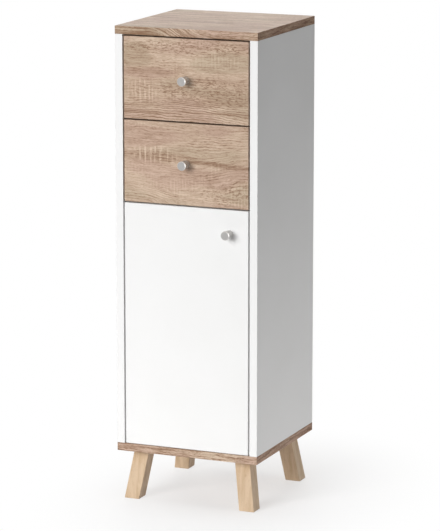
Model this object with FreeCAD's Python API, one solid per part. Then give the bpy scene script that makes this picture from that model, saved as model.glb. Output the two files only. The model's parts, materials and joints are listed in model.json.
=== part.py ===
"""Mid-height bathroom cabinet: two drawers over a door, on four splayed wooden legs.

Millimetres, +Z up, +X to the right, the front faces -Y.
The origin is on the floor, under the middle of the box that holds the cabinet and its knobs.
"""
import FreeCAD
import Part
import math
import os
from FreeCAD import Vector

# Overall sizes
WIDTH = 300.0
DEPTH = 300.0
BODY_HEIGHT = 850.0
LEG_HEIGHT = 100.0
BOARD = 16.0
EDGE_EASE = 0.6

# Inset fronts
FRONT_THICKNESS = 16.0
FRONT_GAP = 3.0
DOOR_BOTTOM_GAP = 1.0
DRAWER_FRONT_HEIGHT = 161.0
FRONT_EASE = 0.8

# Legs
LEG_WIDTH = 32.0
LEG_DEPTH = 32.0
LEG_INSET = 42.0
LEG_SPLAY = 16.0
LEG_EASE = 1.5
LEG_FOOT_CHAMFER = 0.8
LEG_SCREW_SPREAD = 8.0
LEG_SCREW_LENGTH = 40.0

# Back panel, held in grooves
BACK_THICKNESS = 3.0
BACK_INSET = 10.0
GROOVE_DEPTH = 6.0
GROOVE_CLEARANCE = 0.2

# Shelves
SHELF_GAP = 1.0
FIXED_SHELF_SETBACK = 2.0
LOOSE_SHELF_SETBACK = 32.0
LOOSE_SHELF_HEIGHT = 238.0
PIN_RADIUS = 2.5
PIN_IN_BOARD = 8.0
PIN_REACH = 8.0
PIN_FLAT = 2.0
PIN_SETBACK = 60.0
PIN_PITCH = 32.0
PIN_ROWS = 5

# Knobs
KNOB_PROJECTION = 23.0
KNOB_FRONT_RADIUS = 9.25
KNOB_BASE_RADIUS = 8.0
KNOB_RIM = 3.0
KNOB_BORE_DEPTH = 12.0
DOOR_KNOB_FROM_EDGE = 40.0
DOOR_KNOB_FROM_TOP = 47.0
KNOB_SCREW_RADIUS = 2.0
KNOB_SCREW_HEAD_RADIUS = 4.0
KNOB_SCREW_HEAD = 2.6
KNOB_HOLE_CLEARANCE = 0.3

# Drawer boxes
RUNNER_SPACE = 12.5
DRAWER_SIDE = 12.0
DRAWER_SIDE_HEIGHT = 100.0
DRAWER_BOX_LIFT = 22.0
DRAWER_REAR_ROOM = 21.0
DRAWER_BOTTOM = 3.0
DRAWER_BOTTOM_LIFT = 9.0
DRAWER_GROOVE = 5.0
DRAWER_SCREW_HEIGHTS = (42.0, 80.0)
DRAWER_SCREW_LENGTH = 40.0
DRAWER_EASE = 0.8

# Roller runners
STEEL = 1.2
RUNNER_SETBACK = 18.0
CHANNEL_HEIGHT = 24.0
CHANNEL_FLOOR = 9.6
CHANNEL_LIP = 8.0
RAIL_DROP = 4.2
TRACK_HEIGHT = 19.5
TRACK_EDGE = 3.0
RAIL_FOOT = 8.0
ROLLER_RADIUS = 8.6
ROLLER_WIDTH = 6.0
ROLLER_RECESS = 1.0
ROLLER_RIM = 2.2
ROLLER_FROM_END = 15.0
ROLLER_CLEARANCE = 0.35
AXLE_RADIUS = 2.0
AXLE_HEAD_RADIUS = 3.6
AXLE_HEAD = 0.9
AXLE_HEAD_GAP = 0.3
AXLE_PLAY = 0.2
RUNNER_SCREW_FROM_END = 45.0
RUNNER_SCREW_LENGTH = 13.0
RAIL_SCREW_LENGTH = 11.0
RAIL_SCREW_LIFT = 4.4

# Cup hinges
HINGE_FROM_EDGE = 90.0
CUP_RADIUS = 17.4
CUP_DEPTH = 12.4
CUP_FROM_EDGE = 22.5
CUP_FLOOR = 1.1
CUP_SLOT_HALF = 6.5
CUP_SLOT_END_WALL = 1.0
FLANGE = 1.2
FLANGE_RADIUS = 19.5
FLANGE_WING_OFFSET = 9.5
FLANGE_WING_HALF = 28.0
FLANGE_WING_RADIUS = 6.5
FLANGE_SCREW_OFFSET = 22.5
CUP_SCREW_LENGTH = 12.0
HINGE_PIN_RADIUS = 2.0
HINGE_PIN_FROM_EDGE = 20.0
HINGE_PIN_DEPTH = 8.0
HINGE_PIN_GRIP = 5.0
ARM_STEEL = 1.5
ARM_HALF = 6.1
ARM_BOSS_RADIUS = 2.9
ARM_BAR_HALF = 2.4
ARM_BAR_ANGLE = 36.0
ARM_NECK_WIDTH = 5.3
ARM_NECK_CLEARANCE = 0.7
ARM_NECK_END_ANGLE = 125.0
ARM_WEB_START_ANGLE = 42.0
ARM_END = 62.0
PLATE = 3.2
PLATE_WIDTH = 9.0
PLATE_WING_HALF = 23.0
PLATE_WING_WIDTH = 16.0
PLATE_SCREW_OFFSET = 16.0
PLATE_RIB = 5.3
PLATE_START = 24.0
PLATE_SCREW_SETBACK = 37.0
PLATE_SCREW_LENGTH = 14.0
ARM_SEAT_CLEARANCE = 0.2
ARM_SCREW_RADIUS = 2.4
ARM_SCREW_HEAD_RADIUS = 3.6
ARM_SCREW_HEAD = 1.6
ARM_SCREW_FROM_END = 9.0

# Cam fittings, dowels and screws
CAM_RADIUS = 7.45
CAM_SETBACK = 24.0
CAM_WALL = 0.4
CAM_SLOT_WIDTH = 1.6
CAM_SLOT_LENGTH = 8.0
CAM_SLOT_DEPTH = 1.2
BOLT_THREAD = 10.0
BOLT_THREAD_RADIUS = 3.0
BOLT_SHANK_RADIUS = 2.1
BOLT_HEAD = 3.0
BOLT_HEAD_RADIUS = 3.3
BOLT_BORE_RADIUS = 3.6
CAM_FROM_FRONT = 50.0
CAM_FROM_BACK = 60.0
DOWEL_RADIUS = 4.0
DOWEL_IN_FACE = 11.0
DOWEL_IN_END = 19.0
DOWEL_OFFSET = 32.0
DOWEL_CHAMFER = 0.8
SCREW_RADIUS = 1.9
SCREW_HEAD_RADIUS = 3.6
SCREW_RECESS_WIDTH = 1.0
SCREW_RECESS_DEPTH = 1.0
FIT = 0.05
HOLE_END = 0.4

# Places that follow from the sizes above
FRONT_Y = (KNOB_PROJECTION - DEPTH) / 2
BACK_Y = FRONT_Y + DEPTH
MIDDLE_Y = (FRONT_Y + BACK_Y) / 2
INNER_X = WIDTH / 2 - BOARD
FLOOR_Z = LEG_HEIGHT + BOARD
TOP_Z = LEG_HEIGHT + BODY_HEIGHT
CEILING_Z = TOP_Z - BOARD
FRONT_HALF = INNER_X - FRONT_GAP
REAR_FACE_Y = FRONT_Y + FRONT_THICKNESS
BACK_FACE_Y = BACK_Y - BACK_INSET - BACK_THICKNESS
UPPER_DRAWER_Z = CEILING_Z - FRONT_GAP - DRAWER_FRONT_HEIGHT
LOWER_DRAWER_Z = UPPER_DRAWER_Z - FRONT_GAP - DRAWER_FRONT_HEIGHT
DOOR_TOP = LOWER_DRAWER_Z - FRONT_GAP
DOOR_BOTTOM = FLOOR_Z + DOOR_BOTTOM_GAP
FIXED_SHELF_Z = DOOR_TOP + SHELF_GAP
LOOSE_SHELF_Z = FLOOR_Z + LOOSE_SHELF_HEIGHT
LOOSE_SHELF_Y = FRONT_Y + LOOSE_SHELF_SETBACK
DRAWER_REAR_Y = BACK_FACE_Y - DRAWER_REAR_ROOM
BOX_HALF = INNER_X - RUNNER_SPACE
PIN_ROW_Z = LOOSE_SHELF_Z - PIN_FLAT
DOOR_KNOB_X = FRONT_HALF - DOOR_KNOB_FROM_EDGE
DOOR_KNOB_Z = DOOR_TOP - DOOR_KNOB_FROM_TOP
HINGE_LEVELS = {"upper": DOOR_TOP - HINGE_FROM_EDGE, "lower": DOOR_BOTTOM + HINGE_FROM_EDGE}
DRAWER_LEVELS = {"upper": UPPER_DRAWER_Z, "lower": LOWER_DRAWER_Z}

X_AXIS = Vector(1, 0, 0)
Y_AXIS = Vector(0, 1, 0)
Z_AXIS = Vector(0, 0, 1)
SIDES = {"left": -1, "right": 1}


def box(x0, x1, y0, y1, z0, z1):
    """A box between two corners."""
    corner = Vector(min(x0, x1), min(y0, y1), min(z0, z1))
    return Part.makeBox(abs(x1 - x0), abs(y1 - y0), abs(z1 - z0), corner)


def rod(start, direction, length, radius):
    """A cylinder from a point, along a direction."""
    return Part.makeCylinder(radius, length, start, direction)


def mirrored(shape):
    """The same piece for the other side of the cabinet."""
    return shape.mirror(Vector(0, 0, 0), X_AXIS)


def eased_board(x0, x1, y0, y1, z0, z1, radius):
    """A board whose long edges are slightly rounded."""
    board = box(x0, x1, y0, y1, z0, z1)
    return board.makeFillet(radius, board.Edges)


def profile_along_y(points, y0, y1):
    """A prism along Y from a section given as (x, z) points."""
    corners = [Vector(x, y0, z) for x, z in points]
    face = Part.Face(Part.makePolygon(corners + corners[:1]))
    return face.extrude(Vector(0, y1 - y0, 0))


def countersunk_screw(head, direction, length, grow=0.0):
    """A flat-head screw from the centre of its head; grow makes the hole for it."""
    radius = SCREW_RADIUS + grow
    head_radius = SCREW_HEAD_RADIUS + grow
    cone = head_radius - radius
    body = Part.makeCone(head_radius, radius, cone, head, direction)
    shank = rod(head + direction * cone, direction, length - cone + grow, radius)
    return body.fuse(shank).removeSplitter()


def slotted(screw, head, direction):
    """A screw with a cross recess in its head."""
    across = Z_AXIS if abs(direction.z) < 0.5 else X_AXIS
    other = direction.cross(across)
    reach = SCREW_HEAD_RADIUS - SCREW_RECESS_WIDTH
    for along, beside in ((across, other), (other, across)):
        half = along * reach + beside * (SCREW_RECESS_WIDTH / 2) + direction * SCREW_RECESS_DEPTH
        first = head - half
        second = head + half
        screw = screw.cut(box(first.x, second.x, first.y, second.y, first.z, second.z))
    return screw


def screw_pair(head, direction, length):
    """A recessed screw and the hole that it needs."""
    screw = slotted(countersunk_screw(head, direction, length), head, direction)
    return screw, countersunk_screw(head, direction, length, FIT)


def cam_joint(face, along, outward, half):
    """Bolt, cam disc and their holes; along points from the joint's face into the cam's board."""
    end_board = face - along * BOLT_THREAD
    head = face + along * (CAM_SETBACK - BOLT_HEAD)
    bolt = rod(end_board, along, BOLT_THREAD, BOLT_THREAD_RADIUS)
    bolt = bolt.fuse((rod(face, along, CAM_SETBACK - BOLT_HEAD, BOLT_SHANK_RADIUS),
                      rod(head, along, BOLT_HEAD, BOLT_HEAD_RADIUS)))
    centre = face + along * CAM_SETBACK + outward * half
    depth = half + BOLT_BORE_RADIUS + CAM_WALL
    bore = rod(face, along, CAM_SETBACK + HOLE_END, BOLT_BORE_RADIUS)
    disc = rod(centre, outward * -1, depth, CAM_RADIUS).cut(bore)
    beside = along.cross(outward)
    half_slot = along * (CAM_SLOT_LENGTH / 2) + beside * (CAM_SLOT_WIDTH / 2) + outward * CAM_SLOT_DEPTH
    first = centre - half_slot
    second = centre + half_slot
    disc = disc.cut(box(first.x, second.x, first.y, second.y, first.z, second.z))
    thread_hole = rod(face - along * (BOLT_THREAD + HOLE_END), along, BOLT_THREAD + HOLE_END,
                      BOLT_THREAD_RADIUS + FIT)
    pocket = rod(centre, outward * -1, depth + HOLE_END, CAM_RADIUS + FIT)
    return bolt, disc, thread_hole, (bore, pocket)


def dowel_joint(face, along):
    """A dowel across a joint's face, with the hole in the face board and in the end board."""
    start = face - along * DOWEL_IN_FACE
    length = DOWEL_IN_FACE + DOWEL_IN_END
    dowel = rod(start, along, length, DOWEL_RADIUS)
    rims = [edge for edge in dowel.Edges if edge.Closed]
    dowel = dowel.makeChamfer(DOWEL_CHAMFER, rims)
    face_hole = rod(start - along * HOLE_END, along, DOWEL_IN_FACE + HOLE_END, DOWEL_RADIUS + FIT)
    end_hole = rod(face, along, DOWEL_IN_END + HOLE_END, DOWEL_RADIUS + FIT)
    return dowel, face_hole, end_hole


def carcass_joints():
    """Cams and dowels of the carcass, and the holes they need in each board."""
    bolts, discs, dowels = [], [], []
    names = ("top_panel", "bottom_panel", "side_panel_left", "side_panel_right", "fixed_shelf")
    cuts = {name: [] for name in names}
    front = FRONT_Y + CAM_FROM_FRONT
    rear = BACK_Y - CAM_FROM_BACK
    stations = ((front, front + DOWEL_OFFSET), (rear, rear - DOWEL_OFFSET))
    shelf_middle = FIXED_SHELF_Z + BOARD / 2
    for side, sign in SIDES.items():
        board = "side_panel_" + side
        middle = sign * (WIDTH / 2 - BOARD / 2)
        joints = [
            ("top_panel", board, middle, CEILING_Z, Z_AXIS * -1, X_AXIS * -sign),
            ("bottom_panel", board, middle, FLOOR_Z, Z_AXIS, X_AXIS * -sign),
            (board, "fixed_shelf", sign * INNER_X, shelf_middle, X_AXIS * -sign, Z_AXIS * -1),
        ]
        for face_board, cam_board, x, z, along, outward in joints:
            for cam_y, dowel_y in stations:
                bolt, disc, thread_hole, cam_holes = cam_joint(Vector(x, cam_y, z), along, outward, BOARD / 2)
                bolts.append(bolt)
                discs.append(disc)
                cuts[face_board].append(thread_hole)
                cuts[cam_board].extend(cam_holes)
                dowel, face_hole, end_hole = dowel_joint(Vector(x, dowel_y, z), along)
                dowels.append(dowel)
                cuts[face_board].append(face_hole)
                cuts[cam_board].append(end_hole)
    nodes = {
        "carcass_cam_bolts": Part.makeCompound(bolts),
        "carcass_cam_discs": Part.makeCompound(discs),
        "carcass_dowels": Part.makeCompound(dowels),
    }
    return nodes, cuts


def back_groove():
    """The space that the back panel's edges need in the boards around it."""
    y0 = BACK_FACE_Y - GROOVE_CLEARANCE / 2
    y1 = y0 + BACK_THICKNESS + GROOVE_CLEARANCE
    reach = INNER_X + GROOVE_DEPTH
    return box(-reach, reach, y0, y1, FLOOR_Z - GROOVE_DEPTH, CEILING_Z + GROOVE_DEPTH)


def back_panel():
    """The thin back, a little smaller than its grooves."""
    half = INNER_X + GROOVE_DEPTH - GROOVE_CLEARANCE
    z0 = FLOOR_Z - GROOVE_DEPTH + GROOVE_CLEARANCE
    z1 = CEILING_Z + GROOVE_DEPTH - GROOVE_CLEARANCE
    return box(-half, half, BACK_FACE_Y, BACK_FACE_Y + BACK_THICKNESS, z0, z1)


def shelf_pins():
    """The four pins in use, flat where the shelf rests."""
    pins = []
    for sign in SIDES.values():
        for y in (FRONT_Y + PIN_SETBACK, BACK_Y - PIN_SETBACK):
            start = Vector(sign * (INNER_X + PIN_IN_BOARD), y, PIN_ROW_Z)
            pin = rod(start, X_AXIS * -sign, PIN_IN_BOARD + PIN_REACH, PIN_RADIUS)
            inner = sign * (INNER_X - PIN_REACH)
            flat = box(sign * INNER_X, inner, y - PIN_RADIUS, y + PIN_RADIUS,
                       PIN_ROW_Z + PIN_FLAT, PIN_ROW_Z + PIN_RADIUS)
            pins.append(pin.cut(flat))
    return Part.makeCompound(pins)


def pin_holes(sign):
    """The rows of shelf-pin holes in one side panel."""
    holes = []
    for row in range(PIN_ROWS):
        z = PIN_ROW_Z + (row - PIN_ROWS // 2) * PIN_PITCH
        for y in (FRONT_Y + PIN_SETBACK, BACK_Y - PIN_SETBACK):
            start = Vector(sign * INNER_X, y, z)
            holes.append(rod(start, X_AXIS * sign, PIN_IN_BOARD + HOLE_END, PIN_RADIUS + FIT))
    return holes


def leg(sign_x, sign_y):
    """One square leg, cut level at both ends and splayed to its corner."""
    x = sign_x * (WIDTH / 2 - LEG_INSET)
    y = MIDDLE_Y + sign_y * (DEPTH / 2 - LEG_INSET)
    half_x = LEG_WIDTH / 2
    half_y = LEG_DEPTH / 2
    wires = []
    for z, splay in ((0.0, LEG_SPLAY), (LEG_HEIGHT, 0.0)):
        cx = x + sign_x * splay
        cy = y + sign_y * splay
        corners = [Vector(cx - half_x, cy - half_y, z), Vector(cx + half_x, cy - half_y, z),
                   Vector(cx + half_x, cy + half_y, z), Vector(cx - half_x, cy + half_y, z)]
        wires.append(Part.makePolygon(corners + corners[:1]))
    bar = Part.makeLoft(wires, True, True)
    long_edges = [edge for edge in bar.Edges if edge.BoundBox.ZLength > LEG_FOOT_CHAMFER]
    bar = bar.makeFillet(LEG_EASE, long_edges)
    foot_edges = [edge for edge in bar.Edges if edge.BoundBox.ZMax < LEG_FOOT_CHAMFER]
    return bar.makeChamfer(LEG_FOOT_CHAMFER, foot_edges)


def legs_and_screws():
    """Four legs with the screws that come down into them through the bottom panel."""
    nodes, screws, holes = {}, [], []
    for row, sign_y in (("front", -1), ("rear", 1)):
        for side, sign_x in SIDES.items():
            piece = leg(sign_x, sign_y)
            for offset in (-LEG_SCREW_SPREAD, LEG_SCREW_SPREAD):
                head = Vector(sign_x * (WIDTH / 2 - LEG_INSET) + offset,
                              MIDDLE_Y + sign_y * (DEPTH / 2 - LEG_INSET), FLOOR_Z)
                screw, hole = screw_pair(head, Z_AXIS * -1, LEG_SCREW_LENGTH)
                screws.append(screw)
                holes.append(hole)
                piece = piece.cut(hole)
            nodes["leg_" + row + "_" + side] = piece
    nodes["leg_screws"] = Part.makeCompound(screws)
    return nodes, holes


def runner_z(front_z):
    """Underside of the runner that carries the drawer whose front starts at this height."""
    return front_z + DRAWER_BOX_LIFT - RAIL_DROP


def roller(x, y, z):
    """A nylon wheel along X, recessed round its hub, with its bore."""
    wheel = rod(Vector(x, y, z), X_AXIS, ROLLER_WIDTH, ROLLER_RADIUS)
    hub = AXLE_HEAD_RADIUS + ROLLER_RECESS
    ring = rod(Vector(x, y, z), X_AXIS, ROLLER_RECESS, ROLLER_RADIUS - ROLLER_RIM)
    ring = ring.cut(rod(Vector(x, y, z), X_AXIS, ROLLER_RECESS, hub))
    other = ring.translated(Vector(ROLLER_WIDTH - ROLLER_RECESS, 0, 0))
    bore = rod(Vector(x, y, z), X_AXIS, ROLLER_WIDTH, AXLE_RADIUS + FIT)
    return wheel.cut((ring, other, bore))


def runner(front_z):
    """The left runner of one drawer: channel, rail, rollers, screws and screw holes."""
    wall = -INNER_X
    z = runner_z(front_z)
    channel_y0 = FRONT_Y + RUNNER_SETBACK
    roller_x = wall + STEEL + AXLE_HEAD_GAP + AXLE_HEAD + AXLE_PLAY
    rail_web = wall + RUNNER_SPACE - STEEL
    section = [(wall, z), (wall + CHANNEL_FLOOR, z), (wall + CHANNEL_FLOOR, z + STEEL),
               (wall + STEEL, z + STEEL), (wall + STEEL, z + CHANNEL_HEIGHT - STEEL),
               (wall + CHANNEL_LIP, z + CHANNEL_HEIGHT - STEEL), (wall + CHANNEL_LIP, z + CHANNEL_HEIGHT),
               (wall, z + CHANNEL_HEIGHT)]
    channel = profile_along_y(section, channel_y0, DRAWER_REAR_Y)
    foot = z + RAIL_DROP - STEEL
    track = z + TRACK_HEIGHT
    section = [(rail_web, foot), (rail_web + STEEL + RAIL_FOOT, foot),
               (rail_web + STEEL + RAIL_FOOT, foot + STEEL), (rail_web + STEEL, foot + STEEL),
               (rail_web + STEEL, track + STEEL), (wall + TRACK_EDGE, track + STEEL),
               (wall + TRACK_EDGE, track), (rail_web, track)]
    rail = profile_along_y(section, REAR_FACE_Y, DRAWER_REAR_Y)
    front_y = channel_y0 + ROLLER_FROM_END
    front_z = track - ROLLER_CLEARANCE - ROLLER_RADIUS
    front_roller = roller(roller_x, front_y, front_z)
    axle_start = Vector(wall, front_y, front_z)
    head_x = roller_x + ROLLER_WIDTH + AXLE_PLAY
    axle = rod(axle_start, X_AXIS, head_x - wall, AXLE_RADIUS)
    head = rod(Vector(head_x, front_y, front_z), X_AXIS, AXLE_HEAD, AXLE_HEAD_RADIUS)
    shoulder_length = roller_x - AXLE_PLAY - wall
    shoulder = rod(axle_start, X_AXIS, shoulder_length, AXLE_HEAD_RADIUS)
    channel = channel.fuse((axle, head, shoulder)).removeSplitter()
    rear_y = DRAWER_REAR_Y - ROLLER_FROM_END
    rear_z = z + STEEL + ROLLER_CLEARANCE + ROLLER_RADIUS
    rear_roller = roller(roller_x, rear_y, rear_z)
    axle_start = Vector(rail_web + STEEL, rear_y, rear_z)
    head_x = roller_x - AXLE_PLAY
    axle = rod(axle_start, X_AXIS * -1, rail_web + STEEL - head_x, AXLE_RADIUS)
    head = rod(Vector(head_x, rear_y, rear_z), X_AXIS * -1, AXLE_HEAD, AXLE_HEAD_RADIUS)
    shoulder_length = rail_web + STEEL - (roller_x + ROLLER_WIDTH + AXLE_PLAY)
    shoulder = rod(axle_start, X_AXIS * -1, shoulder_length, AXLE_HEAD_RADIUS)
    rail = rail.fuse((axle, head, shoulder)).removeSplitter()
    panel_screws, rail_screws = [], []
    panel_holes, box_holes = [], []
    middle = z + CHANNEL_HEIGHT / 2
    rail_z = z + RAIL_DROP + RAIL_SCREW_LIFT
    for y in (channel_y0 + RUNNER_SCREW_FROM_END, DRAWER_REAR_Y - RUNNER_SCREW_FROM_END):
        screw, hole = screw_pair(Vector(wall + STEEL, y, middle), X_AXIS * -1, RUNNER_SCREW_LENGTH)
        panel_screws.append(screw)
        panel_holes.append(hole)
        screw, hole = screw_pair(Vector(rail_web, y, rail_z), X_AXIS, RAIL_SCREW_LENGTH)
        rail_screws.append(screw)
        box_holes.append(hole)
    return {
        "channel": channel.cut(panel_holes), "rail": rail.cut(box_holes),
        "front_roller": front_roller, "rear_roller": rear_roller,
        "panel_screws": panel_screws, "rail_screws": rail_screws,
        "panel_holes": panel_holes, "box_holes": box_holes,
    }


def knob(x, z):
    """A turned knob that widens from its foot to its flat face."""
    face = FRONT_Y - KNOB_PROJECTION
    rim_start = face + KNOB_RIM
    points = [Vector(x, FRONT_Y, z), Vector(x + KNOB_BASE_RADIUS, FRONT_Y, z),
              Vector(x + KNOB_FRONT_RADIUS, rim_start, z)]
    corner = KNOB_RIM * math.sqrt(0.5)
    rim_middle = Vector(x + KNOB_FRONT_RADIUS - KNOB_RIM + corner, face + KNOB_RIM - corner, z)
    rim_end = Vector(x + KNOB_FRONT_RADIUS - KNOB_RIM, face, z)
    edges = [Part.makeLine(points[0], points[1]), Part.makeLine(points[1], points[2]),
             Part.Arc(points[2], rim_middle, rim_end).toShape(),
             Part.makeLine(rim_end, Vector(x, face, z)), Part.makeLine(Vector(x, face, z), points[0])]
    body = Part.Face(Part.Wire(edges)).revolve(Vector(x, 0, z), Y_AXIS, 360)
    bore = rod(Vector(x, FRONT_Y, z), Y_AXIS * -1, KNOB_BORE_DEPTH + HOLE_END, KNOB_SCREW_RADIUS + FIT)
    return body.cut(bore)


def knob_screw(x, z):
    """The screw that comes through the front from behind, with its hole."""
    head = Vector(x, REAR_FACE_Y + KNOB_SCREW_HEAD, z)
    length = KNOB_SCREW_HEAD + FRONT_THICKNESS + KNOB_BORE_DEPTH
    screw = rod(head, Y_AXIS * -1, length, KNOB_SCREW_RADIUS)
    screw = screw.fuse(rod(head, Y_AXIS * -1, KNOB_SCREW_HEAD, KNOB_SCREW_HEAD_RADIUS)).removeSplitter()
    half = KNOB_SCREW_HEAD_RADIUS - SCREW_RECESS_WIDTH
    deep = head.y - SCREW_RECESS_DEPTH
    thin = SCREW_RECESS_WIDTH / 2
    screw = screw.cut((box(x - half, x + half, deep, head.y, z - thin, z + thin),
                       box(x - thin, x + thin, deep, head.y, z - half, z + half)))
    hole = rod(Vector(x, FRONT_Y, z), Y_AXIS, FRONT_THICKNESS, KNOB_SCREW_RADIUS + KNOB_HOLE_CLEARANCE)
    return screw, hole


def drawer(level, front_z, left):
    """One drawer: front, box, knob and fixings; left holds the left runner's pieces."""
    z0 = front_z + DRAWER_BOX_LIFT
    z1 = z0 + DRAWER_SIDE_HEIGHT
    inner = BOX_HALF - DRAWER_SIDE
    floor_z = z0 + DRAWER_BOTTOM_LIFT
    middle_z = front_z + DRAWER_FRONT_HEIGHT / 2
    slack = GROOVE_CLEARANCE / 2
    groove = box(-inner - DRAWER_GROOVE, inner + DRAWER_GROOVE, REAR_FACE_Y - DRAWER_GROOVE, DRAWER_REAR_Y,
                 floor_z - slack, floor_z + DRAWER_BOTTOM + slack)
    screw, knob_hole = knob_screw(0.0, middle_z)
    front = eased_board(-FRONT_HALF, FRONT_HALF, FRONT_Y, REAR_FACE_Y, front_z,
                        front_z + DRAWER_FRONT_HEIGHT, FRONT_EASE)
    front_cuts = [groove, knob_hole]
    side_cuts = {side: [groove] for side in SIDES}
    fittings, screws, back_cuts = [], [], []
    for side, sign in SIDES.items():
        face = Vector(sign * (BOX_HALF - DRAWER_SIDE / 2), REAR_FACE_Y, (z0 + z1) / 2)
        bolt, disc, thread_hole, cam_holes = cam_joint(face, Y_AXIS, X_AXIS * sign, DRAWER_SIDE / 2)
        fittings.extend((bolt, disc))
        front_cuts.append(thread_hole)
        side_cuts[side].extend(cam_holes)
        for height in DRAWER_SCREW_HEIGHTS:
            head = Vector(sign * BOX_HALF, DRAWER_REAR_Y - DRAWER_SIDE / 2, z0 + height)
            back_screw, hole = screw_pair(head, X_AXIS * -sign, DRAWER_SCREW_LENGTH)
            screws.append(back_screw)
            side_cuts[side].append(hole)
            back_cuts.append(hole)
    screws.extend(left["rail_screws"] + [mirrored(piece) for piece in left["rail_screws"]])
    side_cuts["left"].extend(left["box_holes"])
    side_cuts["right"].extend(mirrored(hole) for hole in left["box_holes"])
    name = "drawer_" + level + "_"
    nodes = {
        name + "front": front.cut(front_cuts),
        name + "back": box(-inner, inner, DRAWER_REAR_Y - DRAWER_SIDE, DRAWER_REAR_Y,
                           floor_z + DRAWER_BOTTOM, z1).cut(back_cuts),
        name + "bottom": box(-inner - DRAWER_GROOVE + slack, inner + DRAWER_GROOVE - slack,
                             REAR_FACE_Y - DRAWER_GROOVE + slack, DRAWER_REAR_Y,
                             floor_z, floor_z + DRAWER_BOTTOM),
        name + "rail_left": left["rail"],
        name + "rail_right": mirrored(left["rail"]),
        name + "knob": knob(0.0, middle_z),
        name + "knob_screw": screw,
        name + "cam_fittings": Part.makeCompound(fittings),
        name + "screws": Part.makeCompound(screws),
    }
    for side, sign in SIDES.items():
        board = box(sign * inner, sign * BOX_HALF, REAR_FACE_Y, DRAWER_REAR_Y, z0, z1)
        rims = [edge for edge in board.Edges
                if edge.BoundBox.ZMin > z1 - DRAWER_EASE and edge.BoundBox.YLength > DRAWER_SIDE]
        nodes[name + "side_" + side] = board.makeFillet(DRAWER_EASE, rims).cut(side_cuts[side])
    return nodes


def hinge_places():
    """The pin's axis and the cup's centre in plan, and the radius that the door's corners sweep."""
    edge_x = -FRONT_HALF
    pin = Vector(edge_x + HINGE_PIN_FROM_EDGE, REAR_FACE_Y - HINGE_PIN_DEPTH, 0)
    cup = Vector(edge_x + CUP_FROM_EDGE, REAR_FACE_Y, 0)
    deeper = max(HINGE_PIN_DEPTH, FRONT_THICKNESS - HINGE_PIN_DEPTH)
    return pin, cup, math.hypot(HINGE_PIN_FROM_EDGE, deeper)


def hinge_cup(z):
    """A die-cast cup with a slot for the arm, a flange with two wings, and its screw holes."""
    pin, cup, _ = hinge_places()
    centre = Vector(cup.x, cup.y, z)
    body = rod(centre, Y_AXIS * -1, CUP_DEPTH, CUP_RADIUS)
    flange = rod(centre, Y_AXIS, FLANGE, FLANGE_RADIUS)
    wing_x = cup.x + FLANGE_WING_OFFSET
    reach = FLANGE_WING_HALF - FLANGE_WING_RADIUS
    wing = box(wing_x - FLANGE_WING_RADIUS, wing_x + FLANGE_WING_RADIUS, cup.y, cup.y + FLANGE,
               z - reach, z + reach)
    ends = [rod(Vector(wing_x, cup.y, z + sign * reach), Y_AXIS, FLANGE, FLANGE_WING_RADIUS)
            for sign in (-1, 1)]
    body = body.fuse([flange, wing] + ends).removeSplitter()
    deep = CUP_DEPTH - CUP_FLOOR
    slot = rod(centre - Y_AXIS * deep, Y_AXIS, deep + FLANGE, CUP_RADIUS - CUP_SLOT_END_WALL)
    slot = slot.common(box(cup.x - CUP_RADIUS, cup.x + CUP_RADIUS, cup.y - deep, cup.y + FLANGE,
                           z - CUP_SLOT_HALF, z + CUP_SLOT_HALF))
    grip = CUP_SLOT_HALF + HINGE_PIN_GRIP
    bore = rod(Vector(pin.x, pin.y, z - grip - FIT), Z_AXIS, 2 * (grip + FIT), HINGE_PIN_RADIUS + FIT)
    screws, holes = [], []
    for sign in (-1, 1):
        head = Vector(wing_x, cup.y + FLANGE, z + sign * FLANGE_SCREW_OFFSET)
        screw, hole = screw_pair(head, Y_AXIS * -1, CUP_SCREW_LENGTH)
        screws.append(screw)
        holes.append(hole)
    pocket = rod(centre, Y_AXIS * -1, CUP_DEPTH + FIT, CUP_RADIUS + FIT)
    return body.cut([slot, bore] + holes), screws, holes + [pocket]


def hinge_pin(z):
    """The pin that the arm turns on, gripped in the cup on both sides of the slot."""
    pin, _, _ = hinge_places()
    grip = CUP_SLOT_HALF + HINGE_PIN_GRIP
    return rod(Vector(pin.x, pin.y, z - grip), Z_AXIS, 2 * grip, HINGE_PIN_RADIUS)


def around(pin, radius, angle):
    """A point on a circle round the hinge pin; the angle is in radians, from +X towards +Y."""
    return pin + Vector(radius * math.cos(angle), radius * math.sin(angle), 0)


def arc(pin, radius, start, end):
    """An arc round the hinge pin between two angles."""
    middle = (start + end) / 2
    points = [around(pin, radius, angle) for angle in (start, middle, end)]
    return Part.Arc(*points).toShape()


def prism(edges, z0, z1):
    """A solid between two heights from the edges of its plan."""
    face = Part.Face(Part.Wire(edges))
    return face.extrude(Vector(0, 0, z1 - z0)).translated(Vector(0, 0, z0))


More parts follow.
